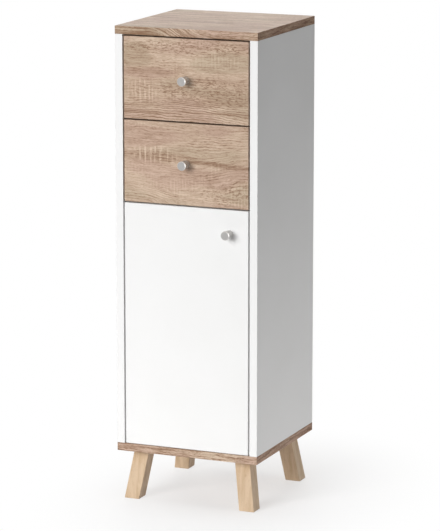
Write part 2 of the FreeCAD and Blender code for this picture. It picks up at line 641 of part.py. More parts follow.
def arm_cheek(pin, inner, outer, seat, roof, end_y):
    """Plan of one cheek: boss, bar, gooseneck and the foot that stands on the plate."""
    tilt = math.radians(ARM_BAR_ANGLE)
    boss_turn = math.asin(ARM_BAR_HALF / ARM_BOSS_RADIUS)
    outer_start = tilt - math.asin(ARM_BAR_HALF / outer)
    inner_start = tilt + math.asin(ARM_BAR_HALF / inner)
    outer_end = math.acos((roof - pin.x) / outer)
    inner_end = math.radians(ARM_NECK_END_ANGLE)
    boss_low = around(pin, ARM_BOSS_RADIUS, tilt - boss_turn)
    boss_high = around(pin, ARM_BOSS_RADIUS, tilt + boss_turn)
    throat = around(pin, inner, inner_end)
    corners = [around(pin, outer, outer_end), Vector(roof, end_y, 0), Vector(seat, end_y, 0),
               Vector(seat, throat.y, 0), throat]
    edges = [Part.makeLine(boss_low, around(pin, outer, outer_start)), arc(pin, outer, outer_start, outer_end)]
    edges += [Part.makeLine(first, second) for first, second in zip(corners, corners[1:])]
    edges += [arc(pin, inner, inner_end, inner_start), Part.makeLine(around(pin, inner, inner_start), boss_high),
              arc(pin, ARM_BOSS_RADIUS, tilt + boss_turn, tilt - boss_turn + 2 * math.pi)]
    return edges


def arm_web(pin, outer, roof, end_y):
    """Plan of the sheet that joins the cheeks over the gooseneck and the foot."""
    start = math.radians(ARM_WEB_START_ANGLE)
    under = outer - ARM_STEEL
    outer_end = math.acos((roof - pin.x) / outer)
    under_end = math.acos((roof - ARM_STEEL - pin.x) / under)
    corners = [around(pin, outer, outer_end), Vector(roof, end_y, 0), Vector(roof - ARM_STEEL, end_y, 0),
               around(pin, under, under_end)]
    edges = [arc(pin, outer, start, outer_end)]
    edges += [Part.makeLine(first, second) for first, second in zip(corners, corners[1:])]
    edges += [arc(pin, under, under_end, start), Part.makeLine(around(pin, under, start), around(pin, outer, start))]
    return edges


def hinge_arm(z):
    """A pressed arm: two cheeks on the pin, a gooseneck clear of the door's edge, and a channel."""
    pin, _, sweep = hinge_places()
    inner = sweep + ARM_NECK_CLEARANCE
    outer = inner + ARM_NECK_WIDTH
    seat = -INNER_X + PLATE + ARM_SEAT_CLEARANCE
    roof = -INNER_X + PLATE + PLATE_RIB + ARM_SEAT_CLEARANCE + ARM_STEEL
    end_y = REAR_FACE_Y + ARM_END
    inside = ARM_HALF - ARM_STEEL
    web = prism(arm_web(pin, outer, roof, end_y), z - inside, z + inside)
    screw = Vector(roof, end_y - ARM_SCREW_FROM_END, z)
    web = web.cut(rod(screw, X_AXIS * -1, ARM_STEEL, ARM_SCREW_RADIUS + FIT))
    cheeks = []
    for z0 in (z - ARM_HALF, z + inside):
        cheek = prism(arm_cheek(pin, inner, outer, seat, roof, end_y), z0, z0 + ARM_STEEL)
        bore = rod(Vector(pin.x, pin.y, z0), Z_AXIS, ARM_STEEL, HINGE_PIN_RADIUS + FIT)
        cheeks.append(cheek.cut(bore))
    return web.fuse(cheeks).removeSplitter(), screw


def hinge_plate(z, arm_screw):
    """The mounting plate on the side panel, with the rib that the arm sits over."""
    wall = -INNER_X
    start = REAR_FACE_Y + PLATE_START
    end = REAR_FACE_Y + ARM_END
    half = PLATE_WIDTH
    screw_y = REAR_FACE_Y + PLATE_SCREW_SETBACK
    wing = PLATE_WING_WIDTH / 2
    rib_half = ARM_HALF - ARM_STEEL - ARM_SEAT_CLEARANCE
    bar = box(wall, wall + PLATE, start, end, z - half, z + half)
    wings = box(wall, wall + PLATE, screw_y - wing, screw_y + wing, z - PLATE_WING_HALF, z + PLATE_WING_HALF)
    corners = [edge for edge in wings.Edges if edge.BoundBox.XLength > PLATE / 2]
    wings = wings.makeFillet(wing / 2, corners)
    rib = box(wall, wall + PLATE + PLATE_RIB, start, end, z - rib_half, z + rib_half)
    plate = bar.fuse((wings, rib)).removeSplitter()
    screws, holes = [], []
    for sign in (-1, 1):
        head = Vector(wall + PLATE, screw_y, z + sign * PLATE_SCREW_OFFSET)
        screw, hole = screw_pair(head, X_AXIS * -1, PLATE_SCREW_LENGTH)
        screws.append(screw)
        holes.append(hole)
    shank = arm_screw.x - wall - PLATE
    clamp = rod(arm_screw, X_AXIS * -1, shank, ARM_SCREW_RADIUS)
    clamp = clamp.fuse(rod(arm_screw, X_AXIS, ARM_SCREW_HEAD, ARM_SCREW_HEAD_RADIUS)).removeSplitter()
    bore = rod(arm_screw, X_AXIS * -1, shank + HOLE_END, ARM_SCREW_RADIUS + FIT)
    return plate.cut(holes + [bore]), screws + [clamp], holes


def door_and_hinges():
    """The door with its knob and cup hinges, and the holes for the plates in the left panel."""
    nodes, panel_holes, plate_screws, cup_screws, pins = {}, [], [], [], []
    screw, knob_hole = knob_screw(DOOR_KNOB_X, DOOR_KNOB_Z)
    door_cuts = [knob_hole]
    for level, z in HINGE_LEVELS.items():
        cup, screws, cuts = hinge_cup(z)
        cup_screws.extend(screws)
        door_cuts.extend(cuts)
        pins.append(hinge_pin(z))
        arm, arm_screw = hinge_arm(z)
        plate, screws, holes = hinge_plate(z, arm_screw)
        plate_screws.extend(screws)
        panel_holes.extend(holes)
        nodes["hinge_cup_" + level] = cup
        nodes["hinge_arm_" + level] = arm
        nodes["hinge_plate_" + level] = plate
    door = eased_board(-FRONT_HALF, FRONT_HALF, FRONT_Y, REAR_FACE_Y, DOOR_BOTTOM, DOOR_TOP, FRONT_EASE)
    nodes["door_panel"] = door.cut(door_cuts)
    nodes["door_knob"] = knob(DOOR_KNOB_X, DOOR_KNOB_Z)
    nodes["door_knob_screw"] = screw
    nodes["hinge_pins"] = Part.makeCompound(pins)
    nodes["hinge_cup_screws"] = Part.makeCompound(cup_screws)
    nodes["hinge_plate_screws"] = Part.makeCompound(plate_screws)
    return nodes, panel_holes


def build():
    """Every piece of the cabinet by name."""
    nodes, cuts = carcass_joints()
    leg_nodes, leg_holes = legs_and_screws()
    nodes.update(leg_nodes)
    cuts["bottom_panel"].extend(leg_holes)
    door_nodes, hinge_holes = door_and_hinges()
    nodes.update(door_nodes)
    cuts["side_panel_left"].extend(hinge_holes)
    runner_screws = []
    for level, front_z in DRAWER_LEVELS.items():
        left = runner(front_z)
        nodes.update(drawer(level, front_z, left))
        right_screws = [mirrored(screw) for screw in left["panel_screws"]]
        runner_screws.extend(left["panel_screws"] + right_screws)
        cuts["side_panel_left"].extend(left["panel_holes"])
        cuts["side_panel_right"].extend(mirrored(hole) for hole in left["panel_holes"])
        nodes["runner_channel_" + level + "_left"] = left["channel"]
        nodes["runner_channel_" + level + "_right"] = mirrored(left["channel"])
        for end in ("front", "rear"):
            wheel = left[end + "_roller"]
            nodes[end + "_rollers_" + level] = Part.makeCompound([wheel, mirrored(wheel)])
    nodes["runner_screws"] = Part.makeCompound(runner_screws)
    groove = back_groove()
    for side, sign in SIDES.items():
        name = "side_panel_" + side
        panel = eased_board(sign * INNER_X, sign * WIDTH / 2, FRONT_Y, BACK_Y, FLOOR_Z, CEILING_Z, EDGE_EASE)
        nodes[name] = panel.cut(cuts[name] + pin_holes(sign) + [groove])
    half = WIDTH / 2
    top = eased_board(-half, half, FRONT_Y, BACK_Y, CEILING_Z, TOP_Z, EDGE_EASE)
    bottom = eased_board(-half, half, FRONT_Y, BACK_Y, LEG_HEIGHT, FLOOR_Z, EDGE_EASE)
    shelf = box(-INNER_X, INNER_X, REAR_FACE_Y + FIXED_SHELF_SETBACK, BACK_FACE_Y,
                FIXED_SHELF_Z, FIXED_SHELF_Z + BOARD)
    nodes["top_panel"] = top.cut(cuts["top_panel"] + [groove])
    nodes["bottom_panel"] = bottom.cut(cuts["bottom_panel"] + [groove])
    nodes["fixed_shelf"] = shelf.cut(cuts["fixed_shelf"])
    nodes["adjustable_shelf"] = eased_board(-INNER_X + SHELF_GAP, INNER_X - SHELF_GAP, LOOSE_SHELF_Y,
                                            BACK_FACE_Y - SHELF_GAP, LOOSE_SHELF_Z, LOOSE_SHELF_Z + BOARD,
                                            EDGE_EASE)
    nodes["shelf_pins"] = shelf_pins()
    nodes["back_panel"] = back_panel()
    return nodes


os.makedirs("parts", exist_ok=True)
for node_name, node_shape in sorted(build().items()):
    node_shape.exportStep("parts/" + node_name + ".step")
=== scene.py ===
import json
import math

import bpy
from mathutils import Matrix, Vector


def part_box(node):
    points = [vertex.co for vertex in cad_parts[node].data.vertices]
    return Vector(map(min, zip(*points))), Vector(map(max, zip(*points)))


# Photograph's view, aimed a little beside and below the middle of the cabinet
AZIMUTH = math.radians(22.8871)
ELEVATION = math.radians(11.4368)
DISTANCE = 6.0463
LENS = 205.281
SENSOR = 36.0
AIM_RIGHT = 0.00783
AIM_DROP = 0.01601

# Softboxes: place, size, power, and whether matt and glossy surfaces show them
SOFTBOXES = {
    "key_light": ((-1.3, -3.85, 1.6), 2.6, 158.0, True, False),
    "fill_light": ((1.25, 0.05, 0.14), 0.5, 2.2, True, False),
    "top_light": ((0.3, 0.2, 3.6), 3.0, 41.0, True, False),
    "back_light": ((-1.3, 3.6, 1.2), 2.4, 75.0, True, False),
    "edge_card": ((2.0, -1.3, 0.75), 3.2, 36.0, False, True),
}
LIGHT_AIM = (0.0, 0.0, 0.5)
SKY_STRENGTH = 0.175
SKY_SHOWN = 1.0

# Floor
WHITE = (1.0, 1.0, 1.0, 1.0)
FLOOR_HALF = 30.0
FLOOR_SHOWN = (0.94, 0.935, 0.93, 1.0)
FLOOR_BOUNCE = (0.88, 0.87, 0.86, 1.0)
FLOOR_DARK = (0.05, 0.05, 0.05, 1.0)
# Round the cabinet the floor's glow fades in an ellipse shaped to its shadow: painted shade.
FLOOR_SHADE_CENTRE = (0.067, -0.024, 0.0)
FLOOR_SHADE_REACH = (0.41, 0.6, 1.0)
FLOOR_GLOW_NEAR = 0.525
FLOOR_FADE_START = 0.06
BOUNCE_START = 0.5
BOUNCE_END = 1.6

# Edge bands of the boards
BAND_THICKNESS = 0.0008
BAND_SEAM = 0.0002

# Heights of the oak's waves and pitches of its lines
WANDER_HEIGHT = 0.012
RIPPLE_HEIGHT = 0.0058
LINE_PITCH = 0.0052
SAW_PITCH = 0.0068

# Oak boards: grain shift and lift, painted shade multiplied on the banded ends, marks as place, reach,
# amount and saw pitch
FRONT = 0.0
CENTRE = 0.1385
DEEP = 0.05
EDGE_DEEP = 0.004
OAK_BOARDS = {
    "top_panel": {
        "shift": (0.3, 0.0, 0.0),
        "lift": 0.03,
        "ends": (0.7, 0.6, 0.52, 1.0),
        "swells": (((-0.15, FRONT, 0.008), (0.21, EDGE_DEEP, 0.3), -0.06),),
        "lines": (((-0.06, FRONT, 0.008), (0.12, EDGE_DEEP, 0.3), 1.0),),
        "hues": (((0.0, CENTRE, 0.016), (0.3, 0.3, 0.01), 0.08),),
    },
    "bottom_panel": {
        "shift": (1.7, 0.4, 0.2),
        "lift": 0.08,
        "ends": (0.84, 0.77, 0.73, 1.0),
        "lines": (((0.0, FRONT, 0.008), (0.3, EDGE_DEEP, 0.3), 0.5),),
        "hues": (((0.0, CENTRE, 0.008), (1.0, 1.0, 0.3), 0.16),),
    },
    "drawer_upper_front": {
        "shift": (0.9, 0.2, 0.1),
        "lift": 0.05,
        "swells": (((-0.02, FRONT, -0.005), (0.17, DEEP, 0.06), -0.012),),
        "bands": (
            ((-0.08, FRONT, 0.096), (0.1, DEEP, 0.011), -0.2),
            ((0.07, FRONT, 0.08), (0.1, DEEP, 0.01), -0.18),
            ((0.09, FRONT, 0.052), (0.09, DEEP, 0.025), -0.14),
            ((0.0, FRONT, 0.16), (0.2, DEEP, 0.03), 0.1),
            ((0.02, FRONT, 0.123), (0.14, DEEP, 0.016), 0.14),
            ((0.0, FRONT, 0.013), (0.2, DEEP, 0.03), 0.1),
            ((-0.09, FRONT, 0.0145), (0.08, DEEP, 0.0045), -0.36),
            ((0.02, FRONT, 0.0185), (0.1, DEEP, 0.0035), -0.26),
            ((0.1, FRONT, 0.0195), (0.07, DEEP, 0.0045), -0.3),
            ((-0.1, FRONT, 0.027), (0.07, DEEP, 0.0035), -0.2),
        ),
        "lines": (((0.0, FRONT, 0.017), (0.2, DEEP, 0.034), 3.0),),
        "flecks": (
            ((0.0, FRONT, 0.144), (0.17, DEEP, 0.017), 1.2),
            ((0.05, FRONT, 0.058), (0.13, DEEP, 0.036), 1.0),
        ),
        "hues": (
            ((0.08, FRONT, 0.12), (0.1, DEEP, 0.03), -0.2),
            ((-0.11, FRONT, 0.115), (0.05, DEEP, 0.05), -0.16),
            ((-0.08, FRONT, 0.092), (0.09, DEEP, 0.014), 0.16),
            ((-0.03, FRONT, 0.015), (0.17, DEEP, 0.024), 0.05),
            ((-0.1, FRONT, 0.045), (0.05, DEEP, 0.02), 0.12),
        ),
        "saws": (
            ((-0.085, FRONT, 0.058), (0.045, DEEP, 0.034), 0.3, 0.0085),
            ((0.06, FRONT, 0.118), (0.07, DEEP, 0.02), 0.18, SAW_PITCH),
        ),
    },
    "drawer_lower_front": {
        "shift": (2.6, 0.7, 0.5),
        "lift": 0.12,
        "swells": (
            ((0.16, FRONT, 0.074), (0.14, DEEP, 0.06), -0.017),
            ((-0.15, FRONT, 0.009), (0.15, DEEP, 0.05), -0.02),
        ),
        "bands": (
            ((-0.08, FRONT, 0.093), (0.14, DEEP, 0.012), -0.34),
            ((0.04, FRONT, 0.085), (0.07, DEEP, 0.006), -0.42),
            ((0.11, FRONT, 0.08), (0.07, DEEP, 0.006), -0.46),
            ((-0.09, FRONT, 0.066), (0.09, DEEP, 0.016), 0.14),
        ),
        "lines": (
            ((0.09, FRONT, 0.054), (0.1, DEEP, 0.03), 1.0),
            ((-0.09, FRONT, 0.016), (0.09, DEEP, 0.02), 1.0),
            ((0.07, FRONT, 0.119), (0.09, DEEP, 0.03), 0.8),
        ),
        "flecks": (((0.09, FRONT, 0.024), (0.09, DEEP, 0.03), 0.5),),
        "hues": (
            ((-0.09, FRONT, 0.129), (0.09, DEEP, 0.03), 0.18),
            ((0.12, FRONT, 0.029), (0.04, DEEP, 0.03), -0.18),
            ((-0.06, FRONT, 0.049), (0.15, DEEP, 0.042), 0.19),
        ),
        "saws": (
            ((-0.07, FRONT, 0.096), (0.06, DEEP, 0.024), 0.42, 0.0115),
            ((-0.012, FRONT, 0.034), (0.04, DEEP, 0.024), 0.24, SAW_PITCH),
            ((0.115, FRONT, 0.024), (0.03, DEEP, 0.034), 0.26, SAW_PITCH),
        ),
    },
}

# Knot, placed from the lowest corner of its leg
KNOT_LEG = "leg_front_right"
KNOT_PLACE = (0.0253, 0.01108, 0.07)
KNOT_REACH = (0.0032, 0.01, 0.0042)
KNOT_BEND = 0.004

# Screen colours
SCREEN_FULL = 255.0
SCREEN_KNEE = 0.04045
SCREEN_SLOPE = 12.92
SCREEN_OFFSET = 0.055
SCREEN_POWER = 2.4


def tone(red, green, blue):
    """Linear colour of a screen colour."""
    parts = []
    for value in (red, green, blue):
        share = value / SCREEN_FULL
        low = share / SCREEN_SLOPE
        high = ((share + SCREEN_OFFSET) / (1.0 + SCREEN_OFFSET)) ** SCREEN_POWER
        parts.append(low if share <= SCREEN_KNEE else high)
    return (*parts, 1.0)


# Shader nodes

ORIGIN = (0.0, 0.0, 0.0)
NOISE_MIDDLE = 0.5
MIX_FIRST = 6
MIX_SECOND = 7
MIX_RESULT = 2
PATCH_CORE = 0.35
SHADER_SOCKETS = {
    "color": "Base Color",
    "roughness": "Roughness",
    "metallic": "Metallic",
    "normal": "Normal",
    "specular": "Specular IOR Level",
    "subsurface": "Subsurface Weight",
}


class Graph:
    """Shader nodes of a material or of the world."""

    def __init__(self, owner):
        owner.use_nodes = True
        self.owner = owner
        self.tree = owner.node_tree

    def put(self, socket, value):
        """Links an input to an output, or sets its value."""
        if isinstance(value, bpy.types.NodeSocket):
            self.tree.links.new(value, socket)
        else:
            socket.default_value = value

    def add(self, kind, inputs, **settings):
        """New node with its settings and inputs."""
        node = self.tree.nodes.new(kind)
        for key, value in settings.items():
            setattr(node, key, value)
        for key, value in inputs.items():
            self.put(node.inputs[key], value)
        return node

    def surface(self):
        """Place and facing of a point of the surface."""
        node = self.add("ShaderNodeTexCoord", {})
        return node.outputs["Object"], node.outputs["Normal"]

    def split(self, vector):
        node = self.add("ShaderNodeSeparateXYZ", {"Vector": vector})
        return node.outputs["X"], node.outputs["Y"], node.outputs["Z"]

    def join(self, x, y, z):
        return self.add("ShaderNodeCombineXYZ", {"X": x, "Y": y, "Z": z}).outputs["Vector"]

    def math(self, operation, first, second=0.0):
        return self.add("ShaderNodeMath", {0: first, 1: second}, operation=operation).outputs["Value"]

    def plus(self, first, second):
        return self.math("ADD", first, second)

    def minus(self, first, second):
        return self.math("SUBTRACT", first, second)

    def times(self, first, second):
        return self.math("MULTIPLY", first, second)

    def vector(self, operation, first, second=ORIGIN, output="Vector"):
        node = self.add("ShaderNodeVectorMath", {0: first, 1: second}, operation=operation)
        return node.outputs[output]

    def ease(self, value, start, end, low=0.0, high=1.0):
        """Smooth change from low to high while the value goes from start to end."""
        inputs = {"Value": value, "From Min": start, "From Max": end, "To Min": low, "To Max": high}
        node = self.add("ShaderNodeMapRange", inputs, interpolation_type="SMOOTHSTEP")
        return node.outputs["Result"]

    def noise(self, point, scales, detail, roughness=0.5, distortion=0.0):
        """Noise with its own fineness along each axis, per metre."""
        inputs = {
            "Vector": self.vector("MULTIPLY", point, scales),
            "Scale": 1.0,
            "Detail": detail,
            "Roughness": roughness,
            "Distortion": distortion,
        }
        return self.add("ShaderNodeTexNoise", inputs).outputs["Fac"]

    def centred(self, noise, depth):
        """A noise about nought, scaled."""
        return self.times(self.minus(noise, NOISE_MIDDLE), depth)

    def blend(self, factor, first, second, way="MIX"):
        """Colour between the first, at factor nought, and the second, at one."""
        inputs = {"Factor": factor, MIX_FIRST: first, MIX_SECOND: second}
        node = self.add("ShaderNodeMix", inputs, data_type="RGBA", blend_type=way)
        return node.outputs[MIX_RESULT]

    def bump(self, height, strength, distance):
        inputs = {"Height": height, "Strength": strength, "Distance": distance}
        return self.add("ShaderNodeBump", inputs).outputs["Normal"]

    def distance(self, point, centre, reach):
        """Distance from a centre as a share of the reach along each axis."""
        scales = tuple(1.0 / length for length in reach)
        shares = self.vector("MULTIPLY", self.vector("SUBTRACT", point, centre), scales)
        return self.vector("LENGTH", shares, output="Value")

    def patch(self, point, centre, reach):
        """One inside an ellipsoid, easing to nought at its edge."""
        return self.ease(self.distance(point, centre, reach), 1.0, PATCH_CORE)

    def seen(self):
        """One where the camera, a mirror or clear material looks, nought for scattered light."""
        path = self.add("ShaderNodeLightPath", {}).outputs
        direct = self.math("MAXIMUM", path["Is Camera Ray"], path["Is Glossy Ray"])
        return self.math("MAXIMUM", direct, path["Is Transmission Ray"])

    def finish(self, **values):
        """The material, with these values on its main shader."""
        shader = self.tree.nodes["Principled BSDF"]
        for key, value in values.items():
            self.put(shader.inputs[SHADER_SOCKETS[key]], value)
        return self.owner


def new_graph(name):
    """Nodes of a new material."""
    return Graph(bpy.data.materials.new(name))


# Oak decor tones and shares; a range is where an effect starts and is full, and what it gives there

OAK_DARK = tone(137, 108, 86)
OAK_MID = tone(184, 159, 138)
OAK_PALE = tone(211, 190, 169)
OAK_PINK = tone(193, 162, 147)
OAK_GREEN = tone(182, 166, 142)
OAK_LEVEL = 0.62
DARK_RANGE = (0.0, 0.52)
PALE_RANGE = (0.48, 1.0)
PINK_RANGE = (0.5, 0.66)
GREEN_RANGE = (0.5, 0.36)
HUE_SHARE = 0.55
FACE_LIMIT = 0.6
BROAD_DEPTH = 0.44
STREAK_DEPTH = 1.35
LINE_CREST = (0.2, 1.0)
LINE_BREAK_RANGE = (0.42, 0.62)
LINE_FRAY = (0.3, 0.6, 0.45, 1.25)
LINE_DEPTH = 0.26
FLECK_RANGE = (0.48, 0.65)
FLECK_EVERYWHERE = 0.45
FLECK_DEPTH = 0.7
SAW_SWAY = 9.0
SAW_TOOTH = (0.1, 0.95, -0.25, 1.0)
SAW_GAP_RANGE = (0.36, 0.56)
SAW_FAINT_RANGE = (0.56, 0.72)
SAW_FAINT = 0.16
PORE_RANGE = (0.62, 0.72)
PORE_SHARE = 0.28
PORE_RELIEF = 0.7
RIM_LEVEL = 0.51
RIM_CONTRAST = 1.5
RIM_STREAK = 2.0
END_STREAK = 4.0
TOP_STREAK = 1.3
TOP_SHEEN = 0.2
OAK_ROUGH = (0.3, 0.7, 0.62, 0.5)
OAK_BUMP = (0.25, 0.0003)
OAK_GLOSS = 0.5
RIM_GLOSS = 0.15

# Noise layers: fineness along X, Y and Z per metre, detail, roughness, distortion; oak grain is along X
OAK_WANDER = ((5.0, 22.0, 22.0), 2.0)
OAK_RIPPLE = ((52.0, 90.0, 90.0), 1.0)
OAK_BROAD = ((4.0, 26.0, 26.0), 2.0)
OAK_STREAK = ((30.0, 500.0, 500.0), 4.0, 0.65)
OAK_BREAK = ((16.0, 120.0, 120.0), 1.0)
OAK_FLECK = ((135.0, 640.0, 640.0), 5.0, 0.6, 0.5)
OAK_HUE = ((7.0, 20.0, 20.0), 1.0)
OAK_PORE = ((140.0, 2400.0, 2400.0), 1.0)
SAW_JITTER = ((34.0, 6.0, 6.0), 1.0)
SAW_GAPS = ((150.0, 70.0, 70.0), 2.0)
SAW_FAINT_AREA = ((14.0, 26.0, 26.0), 1.0)
RIM_COARSE = ((9.0, 200.0, 200.0), 3.0, 0.6)
TOP_LONG = ((5.0, 62.0, 62.0), 2.0)


def placed(node, kind):
    """An oak board's marks of one kind, moved from the middle of its lower front edge into the frame."""
    low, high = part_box(node)
    edge = Vector(((low.x + high.x) / 2.0, low.y, low.z))
    return [(edge + Vector(place), *rest) for place, *rest in OAK_BOARDS[node].get(kind, ())]


def marked(graph, node, kind, point, value):
    """A value that is raised or lowered in a board's marked places."""
    for place, reach, amount in placed(node, kind):
        value = graph.plus(value, graph.times(graph.patch(point, place, reach), amount))
    return value


def swapped(graph, switch, first, second):
    """Both values, exchanged where the switch is one."""
    change = graph.times(switch, graph.minus(second, first))
    return graph.plus(first, change), graph.minus(second, change)


def grain_place(graph, point, end, shift, upright):
    """Place on a board with the grain along X, and along the edge band on its ends."""
    along, aside, height = graph.split(point)
    if upright:
        along, height = swapped(graph, end, along, height)
    else:
        along, aside = swapped(graph, end, along, aside)
    return graph.vector("ADD", graph.join(along, aside, height), shift)


def wandering(graph, node, point, still):
    """Place on a board whose grain lines wander, ripple and rise over the swells."""
    along, aside, height = graph.split(still)
    rise = graph.plus(height, graph.centred(graph.noise(still, *OAK_WANDER), WANDER_HEIGHT))
    rise = graph.plus(rise, graph.centred(graph.noise(still, *OAK_RIPPLE), RIPPLE_HEIGHT))
    return graph.join(along, aside, marked(graph, node, "swells", point, rise))


def growth_lines(graph, node, point, place, streak, fleck):
    """Depth of the growth lines, which are broken and frayed."""
    _, aside, rise = graph.split(place)
    turns = graph.times(graph.plus(rise, aside), math.tau / LINE_PITCH)
    crest = graph.ease(graph.math("SINE", graph.plus(turns, graph.times(streak, math.pi))), *LINE_CREST)
    share = graph.ease(graph.noise(place, *OAK_BREAK), *LINE_BREAK_RANGE)
    share = marked(graph, node, "lines", point, share)
    share = graph.times(share, graph.ease(fleck, *LINE_FRAY))
    return graph.times(graph.times(crest, share), LINE_DEPTH)


def dark_flecks(graph, node, point, fleck):
    """Depth of the short dark flecks."""
    share = marked(graph, node, "flecks", point, FLECK_EVERYWHERE)
    return graph.times(graph.times(graph.ease(fleck, *FLECK_RANGE), share), FLECK_DEPTH)


def saw_marks(graph, node, point, still):
    """Pale combs of saw marks across the grain, with a faint one in places everywhere."""
    along, _, _ = graph.split(still)
    jitter = graph.times(graph.noise(still, *SAW_JITTER), SAW_SWAY)
    area = graph.ease(graph.noise(still, *SAW_FAINT_AREA), *SAW_FAINT_RANGE)
    combs = [(graph.times(area, SAW_FAINT), SAW_PITCH)]
    for place, reach, amount, pitch in placed(node, "saws"):
        combs.append((graph.times(graph.patch(point, place, reach), amount), pitch))
    total = 0.0
    for share, pitch in combs:
        turns = graph.plus(graph.times(along, math.tau / pitch), jitter)
        comb = graph.ease(graph.math("SINE", turns), *SAW_TOOTH)
        total = graph.plus(graph.times(comb, share), total)
    return graph.times(total, graph.ease(graph.noise(still, *SAW_GAPS), *SAW_GAP_RANGE))


def rimmed(graph, place, level, lift, end, flat):
    """Level of a top or bottom board, whose banded rim is deeper and more marked than its face."""
    rim = graph.plus(RIM_LEVEL + lift, graph.times(graph.minus(level, OAK_LEVEL), RIM_CONTRAST))
    depth = graph.ease(end, 0.0, 1.0, RIM_STREAK, END_STREAK)
    rim = graph.plus(rim, graph.centred(graph.noise(place, *RIM_COARSE), depth))
    face = graph.plus(level, graph.centred(graph.noise(place, *TOP_LONG), TOP_STREAK))
    return graph.plus(rim, graph.times(flat, graph.minus(face, rim)))


def oak_color(graph, level, hue, pore):
    """Colour of a level from dark to pale, with pink and greenish areas and fine pores."""
    color = graph.blend(graph.ease(level, *DARK_RANGE), OAK_DARK, OAK_MID)
    color = graph.blend(graph.ease(level, *PALE_RANGE), color, OAK_PALE)
    for shade, span in ((OAK_PINK, PINK_RANGE), (OAK_GREEN, GREEN_RANGE)):
        share = graph.times(graph.ease(hue, *span), HUE_SHARE)
        color = graph.blend(share, color, graph.blend(level, OAK_DARK, shade))
    return graph.blend(graph.times(pore, PORE_SHARE), color, OAK_DARK)


def oak(node):
    """Rough-sawn oak decor of one board; a board with painted shade on its ends has a banded rim."""
    board = OAK_BOARDS[node]
    lift = board["lift"]
    ends = board.get("ends")
    graph = new_graph("oak_" + node)
    point, facing = graph.surface()
    facing_x, _, facing_z = graph.split(facing)
    end = graph.math("GREATER_THAN", graph.math("ABSOLUTE", facing_x), FACE_LIMIT)
    flat = graph.math("GREATER_THAN", graph.math("ABSOLUTE", facing_z), FACE_LIMIT)
    still = grain_place(graph, point, end, board["shift"], ends is None)
    place = wandering(graph, node, point, still)
    streak = graph.noise(place, *OAK_STREAK)
    fleck = graph.noise(place, *OAK_FLECK)
    pore = graph.ease(graph.noise(place, *OAK_PORE), *PORE_RANGE)
    hue = marked(graph, node, "hues", point, graph.noise(still, *OAK_HUE))
    level = graph.plus(OAK_LEVEL + lift, graph.centred(graph.noise(place, *OAK_BROAD), BROAD_DEPTH))
    level = graph.plus(level, graph.centred(streak, STREAK_DEPTH))
    level = graph.minus(level, growth_lines(graph, node, point, place, streak, fleck))
    level = graph.minus(level, dark_flecks(graph, node, point, fleck))
    level = marked(graph, node, "bands", point, level)
    level = graph.plus(level, saw_marks(graph, node, point, still))
    roughness = graph.ease(streak, *OAK_ROUGH)
    normal = graph.bump(graph.minus(streak, graph.times(pore, PORE_RELIEF)), *OAK_BUMP)
    if ends is None:
        color = oak_color(graph, level, hue, pore)
        return graph.finish(color=color, roughness=roughness, normal=normal, specular=OAK_GLOSS)
    level = rimmed(graph, place, level, lift, end, flat)
    # The ends colour multiplies the end faces darker: painted shade.
    color = graph.blend(end, oak_color(graph, level, hue, pore), ends, "MULTIPLY")
    roughness = graph.minus(roughness, graph.times(flat, TOP_SHEEN))
    return graph.finish(color=color, roughness=roughness, normal=normal, specular=RIM_GLOSS)


# White boards

WHITE_FACE = tone(240, 240, 240)
WHITE_CLOUD = tone(236, 236, 235)
WHITE_SEAM = tone(205, 204, 201)
BOARD_PEEL = ((1400.0, 1400.0, 1400.0), 1.0)
BOARD_CLOUD = ((9.0, 9.0, 9.0), 3.0)
SEAM_SHARE = 0.5
BOARD_ROUGH = (0.2, 0.8, 0.42, 0.5)
BOARD_BUMP = (0.12, 0.0001)
BOARD_GLOSS = 0.3


def seam_lines(graph, node, point):
    """Thin joint line round the faces of a board, where its edge band ends."""
    low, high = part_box(node)
    sizes = list(high - low)
    thin = sizes.index(min(sizes))
    found = 0.0
    for axis, value in enumerate(graph.split(point)):
        if axis == thin:
            continue
        for line in (low[axis] + BAND_THICKNESS, high[axis] - BAND_THICKNESS):
            away = graph.math("ABSOLUTE", graph.minus(value, line))
            found = graph.math("MAXIMUM", graph.ease(away, BAND_SEAM, 0.0), found)
    return found


def white_board(node):
    """White board with a fine peel and the joint lines of its edge bands."""
    graph = new_graph("white_" + node)
    point, _ = graph.surface()
    cloud = graph.noise(point, *BOARD_CLOUD)
    seam = seam_lines(graph, node, point)
    color = graph.blend(cloud, WHITE_FACE, WHITE_CLOUD)
    color = graph.blend(graph.times(seam, SEAM_SHARE), color, WHITE_SEAM)
    roughness = graph.ease(cloud, *BOARD_ROUGH)
    normal = graph.bump(graph.minus(graph.noise(point, *BOARD_PEEL), seam), *BOARD_BUMP)
    return graph.finish(color=color, roughness=roughness, normal=normal, specular=BOARD_GLOSS)


# Drawer foil and dowels

FOIL_FIBRE = ((260.0, 13.0, 260.0), 3.0, 0.6)
FOIL_WHITE = tone(236, 236, 234)
FOIL_SHADE = tone(229, 229, 226)
FOIL_ROUGH = (0.3, 0.7, 0.4, 0.5)
FOIL_BUMP = (0.15, 0.0002)
FOIL_GLOSS = 0.35
DOWEL_FIBRE = ((300.0, 300.0, 40.0), 3.0, 0.6)
DOWEL_PALE = tone(214, 184, 142)
DOWEL_DARK = tone(182, 146, 102)
DOWEL_ROUGH = (0.3, 0.7, 0.6, 0.75)
DOWEL_BUMP = (0.2, 0.0002)
DOWEL_GLOSS = 0.5


def fibrous(name, fibres, pale, dark, rough, relief, gloss):
    """Plain fibres from pale to dark."""
    graph = new_graph(name)
    point, _ = graph.surface()
    fibre = graph.noise(point, *fibres)
    color = graph.blend(fibre, pale, dark)
    roughness = graph.ease(fibre, *rough)
    normal = graph.bump(fibre, *relief)
    return graph.finish(color=color, roughness=roughness, normal=normal, specular=gloss)


# Hardboard

